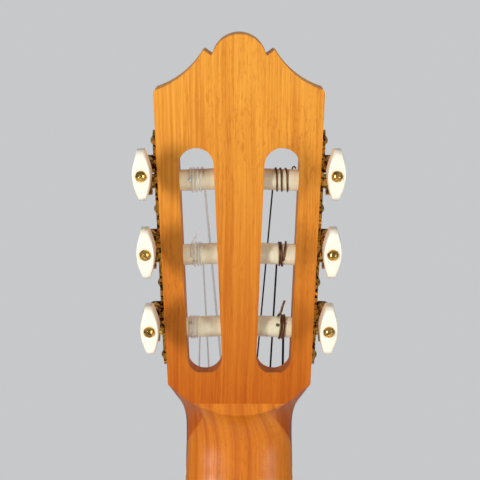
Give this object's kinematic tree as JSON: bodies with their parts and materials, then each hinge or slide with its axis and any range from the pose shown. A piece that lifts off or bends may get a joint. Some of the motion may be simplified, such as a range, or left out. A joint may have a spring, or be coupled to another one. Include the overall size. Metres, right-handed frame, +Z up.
{
  "type": "classical guitar",
  "caption": "Classical guitar with a slotted headstock, geared tuning machines with cream keys and rollers, a long neck and a waisted hollow body.",
  "frame": {"origin": "on the neck's centre line where the head's front face starts behind the nut, which is where a hanger's or a bench cradle's yoke takes the neck", "axes": "+Z up the neck towards the head, +Y out of the soundboard, +X towards the bass strings"},
  "size_m": [0.365, 0.1141, 1.0229],
  "materials": {
    "neck_wood": "satin lacquered cedar",
    "veneer_wood": "satin rosewood",
    "fingerboard_wood": "oiled dark rosewood",
    "top_wood": "gloss lacquered cedar top",
    "body_wood": "gloss lacquered rosewood",
    "binding_wood": "gloss dark wood",
    "inner_wood": "raw",
    "rosette_inlay": "gloss inlay",
    "bone": "polished bone",
    "roller_plastic": "cream satin",
    "button_plastic": "cream gloss",
    "gold_plate": "gold plated",
    "fret_metal": "polished nickel silver",
    "nylon": "clear nylon",
    "wound_string": "tarnished wound"
  },
  "bodies": {
    "neck_and_body": {"headstock": "neck_wood", "headstock_veneer": "veneer_wood", "neck_shaft": "neck_wood", "heel_cap": "veneer_wood", "fingerboard": "fingerboard_wood", "frets": "fret_metal", "nut": "bone", "soundboard_bass": "top_wood", "soundboard_treble": "top_wood", "rosette": "rosette_inlay", "bindings": "binding_wood", "side_bass": "body_wood", "side_treble": "body_wood", "linings": "inner_wood", "neck_block": "inner_wood", "tail_block": "inner_wood", "back_bass": "body_wood", "back_treble": "body_wood", "back_strip": "binding_wood", "soundboard_braces": "inner_wood", "bridge_patch": "inner_wood", "back_braces": "inner_wood", "bridge": "fingerboard_wood", "saddle": "bone", "strings_treble": "nylon", "strings_bass": "wound_string", "tuner_plate_bass": "gold_plate", "tuner_plate_treble": "gold_plate", "plate_screws": "gold_plate"},
    "post_e4": {"roller_e4": "roller_plastic", "gear_e4": "gold_plate", "winding_e4": "nylon"},
    "key_e4": {"worm_shaft_e4": "gold_plate", "button_e4": "button_plastic"},
    "post_b3": {"roller_b3": "roller_plastic", "gear_b3": "gold_plate", "winding_b3": "nylon"},
    "key_b3": {"worm_shaft_b3": "gold_plate", "button_b3": "button_plastic"},
    "post_g3": {"roller_g3": "roller_plastic", "gear_g3": "gold_plate", "winding_g3": "nylon"},
    "key_g3": {"worm_shaft_g3": "gold_plate", "button_g3": "button_plastic"},
    "post_d3": {"roller_d3": "roller_plastic", "gear_d3": "gold_plate", "winding_d3": "wound_string"},
    "key_d3": {"worm_shaft_d3": "gold_plate", "button_d3": "button_plastic"},
    "post_a2": {"roller_a2": "roller_plastic", "gear_a2": "gold_plate", "winding_a2": "wound_string"},
    "key_a2": {"worm_shaft_a2": "gold_plate", "button_a2": "button_plastic"},
    "post_e2": {"roller_e2": "roller_plastic", "gear_e2": "gold_plate", "winding_e2": "wound_string"},
    "key_e2": {"worm_shaft_e2": "gold_plate", "button_e2": "button_plastic"}
  },
  "joints": [
    {"name": "key_turn_e4", "type": "hinge", "parent": "neck_and_body", "child": "key_e4", "pos_m": [-0.03993, -0.02642, 0.07621], "axis": [0, -0.9781, -0.2079], "continuous": true},
    {"name": "post_turn_e4", "type": "hinge", "parent": "neck_and_body", "child": "post_e4", "pos_m": [-0.03422, -0.02476, 0.06839], "axis": [-0.9993, 0.0079, -0.0373], "continuous": true},
    {"name": "key_turn_b3", "type": "hinge", "parent": "neck_and_body", "child": "key_b3", "pos_m": [-0.04127, -0.03369, 0.11042], "axis": [0, -0.9781, -0.2079], "continuous": true},
    {"name": "post_turn_b3", "type": "hinge", "parent": "neck_and_body", "child": "post_b3", "pos_m": [-0.03556, -0.03203, 0.1026], "axis": [-0.9993, 0.0079, -0.0373], "continuous": true},
    {"name": "key_turn_g3", "type": "hinge", "parent": "neck_and_body", "child": "key_g3", "pos_m": [-0.0426, -0.04097, 0.14463], "axis": [0, -0.9781, -0.2079], "continuous": true},
    {"name": "post_turn_g3", "type": "hinge", "parent": "neck_and_body", "child": "post_g3", "pos_m": [-0.03689, -0.0393, 0.13681], "axis": [-0.9993, 0.0079, -0.0373], "continuous": true},
    {"name": "key_turn_d3", "type": "hinge", "parent": "neck_and_body", "child": "key_d3", "pos_m": [0.0426, -0.04097, 0.14463], "axis": [0, -0.9781, -0.2079], "continuous": true},
    {"name": "post_turn_d3", "type": "hinge", "parent": "neck_and_body", "child": "post_d3", "pos_m": [0.03689, -0.0393, 0.13681], "axis": [0.9993, 0.0079, -0.0373], "continuous": true},
    {"name": "key_turn_a2", "type": "hinge", "parent": "neck_and_body", "child": "key_a2", "pos_m": [0.04127, -0.03369, 0.11042], "axis": [0, -0.9781, -0.2079], "continuous": true},
    {"name": "post_turn_a2", "type": "hinge", "parent": "neck_and_body", "child": "post_a2", "pos_m": [0.03556, -0.03203, 0.1026], "axis": [0.9993, 0.0079, -0.0373], "continuous": true},
    {"name": "key_turn_e2", "type": "hinge", "parent": "neck_and_body", "child": "key_e2", "pos_m": [0.03993, -0.02642, 0.07621], "axis": [0, -0.9781, -0.2079], "continuous": true},
    {"name": "post_turn_e2", "type": "hinge", "parent": "neck_and_body", "child": "post_e2", "pos_m": [0.03422, -0.02476, 0.06839], "axis": [0.9993, 0.0079, -0.0373], "continuous": true}
  ],
  "couplings": [
    {"joint": "post_turn_e4", "follows": "key_turn_e4", "ratio": -0.071429},
    {"joint": "post_turn_b3", "follows": "key_turn_b3", "ratio": -0.071429},
    {"joint": "post_turn_g3", "follows": "key_turn_g3", "ratio": -0.071429},
    {"joint": "post_turn_d3", "follows": "key_turn_d3", "ratio": -0.071429},
    {"joint": "post_turn_a2", "follows": "key_turn_a2", "ratio": -0.071429},
    {"joint": "post_turn_e2", "follows": "key_turn_e2", "ratio": -0.071429}
  ]
}
